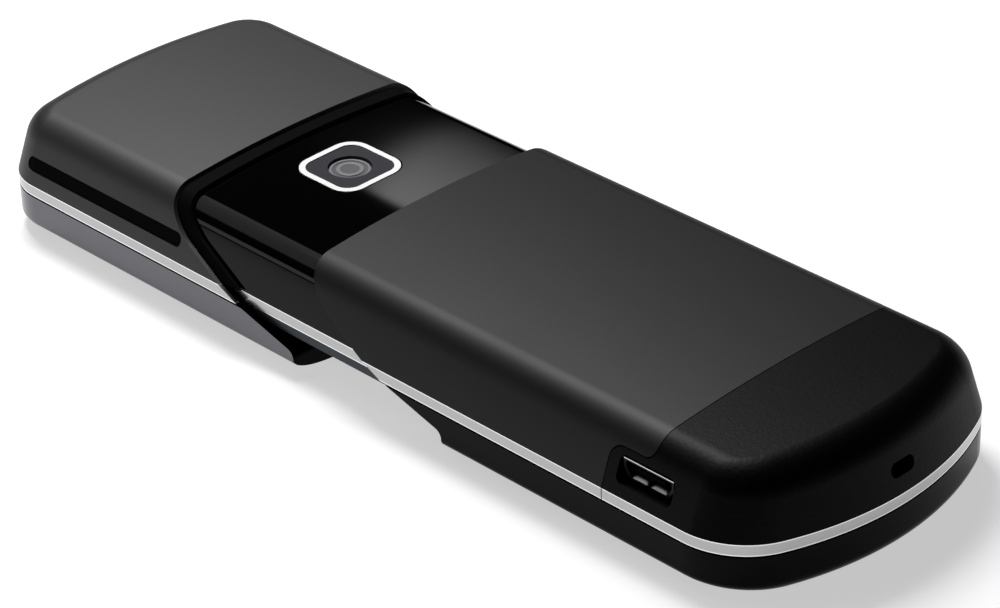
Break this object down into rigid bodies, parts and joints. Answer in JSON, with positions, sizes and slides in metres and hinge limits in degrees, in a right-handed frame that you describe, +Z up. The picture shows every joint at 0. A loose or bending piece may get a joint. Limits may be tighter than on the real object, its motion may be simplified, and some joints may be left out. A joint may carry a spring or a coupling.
{
  "type": "slider mobile phone",
  "caption": "Slider phone, lying face down and slid open: wrap-round upper slide with display, lower body with keys, rear camera, battery cover, side port and lanyard eye.",
  "frame": {"origin": "middle of the open phone's outline, on the plane that its front rests on", "axes": "+Y along the phone towards the earpiece end, +Z up out of the rear, +X across; the port is on the -X side"},
  "size_m": [0.045, 0.133, 0.0162],
  "materials": {
    "satin_grey": "satin",
    "inner_black": "matte",
    "silver_trim": "satin",
    "smoky_gloss": "gloss",
    "gloss_black": "gloss",
    "soft_black": "soft matte",
    "cap_black": "fine grain",
    "frame_metal": "satin",
    "slip_plastic": "smooth",
    "bright_bezel": "satin",
    "dark_glass": "gloss",
    "lens_glass": "gloss",
    "display_dark": "gloss",
    "key_black": "gloss",
    "steel": "brushed",
    "battery_can": "matte",
    "board": "solder mask",
    "dome_film": "film"
  },
  "bodies": {
    "lower_body": {"front_frame": "frame_metal", "rail_liners": "slip_plastic", "mid_trim": "silver_trim", "rear_housing": "gloss_black", "lanyard_post": "steel", "camera_bezel": "bright_bezel", "camera_window": "dark_glass", "camera_lens": "lens_glass", "camera_module": "inner_black", "end_cap": "cap_black", "end_trim": "silver_trim", "battery": "battery_can", "battery_contacts": "inner_black", "sim_holder": "steel", "main_board": "board", "dome_sheet": "dome_film", "shield_cans": "steel", "vibration_motor": "steel", "port_board": "board", "usb_shell": "steel", "usb_tongue": "inner_black", "housing_screws": "steel", "stop_screws": "steel", "chin_shell": "gloss_black", "nav_board": "board", "loudspeaker": "inner_black", "microphone": "steel"},
    "slide": {"slide_rear_cover": "satin_grey", "slide_liner": "inner_black", "slide_trim": "silver_trim", "slide_front_shell": "smoky_gloss", "display_window": "dark_glass", "display_module": "display_dark", "earpiece": "inner_black", "slide_board": "board", "slide_plate": "steel"},
    "battery_cover": {"battery_cover": "soft_black", "cover_trims": "silver_trim"},
    "key_1": {"key_1": "key_black"},
    "key_2": {"key_2": "key_black"},
    "key_3": {"key_3": "key_black"},
    "key_4": {"key_4": "key_black"},
    "key_5": {"key_5": "key_black"},
    "key_6": {"key_6": "key_black"},
    "key_7": {"key_7": "key_black"},
    "key_8": {"key_8": "key_black"},
    "key_9": {"key_9": "key_black"},
    "key_star": {"key_star": "key_black"},
    "key_0": {"key_0": "key_black"},
    "key_hash": {"key_hash": "key_black"},
    "nav_select": {"nav_select": "key_black"},
    "soft_key_left": {"soft_key_left": "key_black"},
    "soft_key_right": {"soft_key_right": "key_black"},
    "send_key": {"send_key": "key_black"},
    "end_key": {"end_key": "key_black"},
    "nav_carrier": {"nav_carrier": "inner_black"},
    "nav_ring": {"nav_ring": "silver_trim"},
    "volume_key": {"volume_key": "cap_black"},
    "power_key": {"power_key": "cap_black"}
  },
  "joints": [
    {"name": "slide_travel", "type": "slide", "parent": "lower_body", "child": "slide", "axis": [0, 1, 0], "range_m": [-0.025, 0]},
    {"name": "cover_lift", "type": "slide", "parent": "lower_body", "child": "battery_cover", "axis": [0, 0, 1], "range_m": [0, 0.02]},
    {"name": "key_1_press", "type": "slide", "parent": "lower_body", "child": "key_1", "axis": [0, 0, 1], "range_m": [0, 0.0003], "stiffness_N_per_m": 180, "springref_m": -0.0001},
    {"name": "key_2_press", "type": "slide", "parent": "lower_body", "child": "key_2", "axis": [0, 0, 1], "range_m": [0, 0.0003], "stiffness_N_per_m": 180, "springref_m": -0.0001},
    {"name": "key_3_press", "type": "slide", "parent": "lower_body", "child": "key_3", "axis": [0, 0, 1], "range_m": [0, 0.0003], "stiffness_N_per_m": 180, "springref_m": -0.0001},
    {"name": "key_4_press", "type": "slide", "parent": "lower_body", "child": "key_4", "axis": [0, 0, 1], "range_m": [0, 0.0003], "stiffness_N_per_m": 180, "springref_m": -0.0001},
    {"name": "key_5_press", "type": "slide", "parent": "lower_body", "child": "key_5", "axis": [0, 0, 1], "range_m": [0, 0.0003], "stiffness_N_per_m": 180, "springref_m": -0.0001},
    {"name": "key_6_press", "type": "slide", "parent": "lower_body", "child": "key_6", "axis": [0, 0, 1], "range_m": [0, 0.0003], "stiffness_N_per_m": 180, "springref_m": -0.0001},
    {"name": "key_7_press", "type": "slide", "parent": "lower_body", "child": "key_7", "axis": [0, 0, 1], "range_m": [0, 0.0003], "stiffness_N_per_m": 180, "springref_m": -0.0001},
    {"name": "key_8_press", "type": "slide", "parent": "lower_body", "child": "key_8", "axis": [0, 0, 1], "range_m": [0, 0.0003], "stiffness_N_per_m": 180, "springref_m": -0.0001},
    {"name": "key_9_press", "type": "slide", "parent": "lower_body", "child": "key_9", "axis": [0, 0, 1], "range_m": [0, 0.0003], "stiffness_N_per_m": 180, "springref_m": -0.0001},
    {"name": "key_star_press", "type": "slide", "parent": "lower_body", "child": "key_star", "axis": [0, 0, 1], "range_m": [0, 0.0003], "stiffness_N_per_m": 180, "springref_m": -0.0001},
    {"name": "key_0_press", "type": "slide", "parent": "lower_body", "child": "key_0", "axis": [0, 0, 1], "range_m": [0, 0.0003], "stiffness_N_per_m": 180, "springref_m": -0.0001},
    {"name": "key_hash_press", "type": "slide", "parent": "lower_body", "child": "key_hash", "axis": [0, 0, 1], "range_m": [0, 0.0003], "stiffness_N_per_m": 180, "springref_m": -0.0001},
    {"name": "nav_select_press", "type": "slide", "parent": "lower_body", "child": "nav_select", "axis": [0, 0, 1], "range_m": [0, 0.0003], "stiffness_N_per_m": 180, "springref_m": -0.0001},
    {"name": "soft_key_left_press", "type": "slide", "parent": "lower_body", "child": "soft_key_left", "axis": [0, 0, 1], "range_m": [0, 0.0003], "stiffness_N_per_m": 180, "springref_m": -0.0001},
    {"name": "soft_key_right_press", "type": "slide", "parent": "lower_body", "child": "soft_key_right", "axis": [0, 0, 1], "range_m": [0, 0.0003], "stiffness_N_per_m": 180, "springref_m": -0.0001},
    {"name": "send_key_press", "type": "slide", "parent": "lower_body", "child": "send_key", "axis": [0, 0, 1], "range_m": [0, 0.0003], "stiffness_N_per_m": 180, "springref_m": -0.0001},
    {"name": "end_key_press", "type": "slide", "parent": "lower_body", "child": "end_key", "axis": [0, 0, 1], "range_m": [0, 0.0003], "stiffness_N_per_m": 180, "springref_m": -0.0001},
    {"name": "nav_tilt_up_down", "type": "hinge", "parent": "lower_body", "child": "nav_carrier", "pos_m": [0, -0.035, 0.0022], "axis": [1, 0, 0], "range_deg": [-1, 1], "stiffness_Nm_per_rad": 0.0065},
    {"name": "nav_tilt_left_right", "type": "hinge", "parent": "nav_carrier", "child": "nav_ring", "pos_m": [0, -0.035, 0.0022], "axis": [0, 1, 0], "range_deg": [-1, 1], "stiffness_Nm_per_rad": 0.0065},
    {"name": "volume_rock", "type": "hinge", "parent": "slide", "child": "volume_key", "pos_m": [-0.02131, 0.0446, 0.0101], "axis": [0.3395, 0, 0.9406], "range_deg": [-1.1, 1.1], "stiffness_Nm_per_rad": 0.026},
    {"name": "power_press", "type": "slide", "parent": "slide", "child": "power_key", "axis": [0, -1, 0], "range_m": [0, 0.0003], "stiffness_N_per_m": 180, "springref_m": -0.0001}
  ]
}
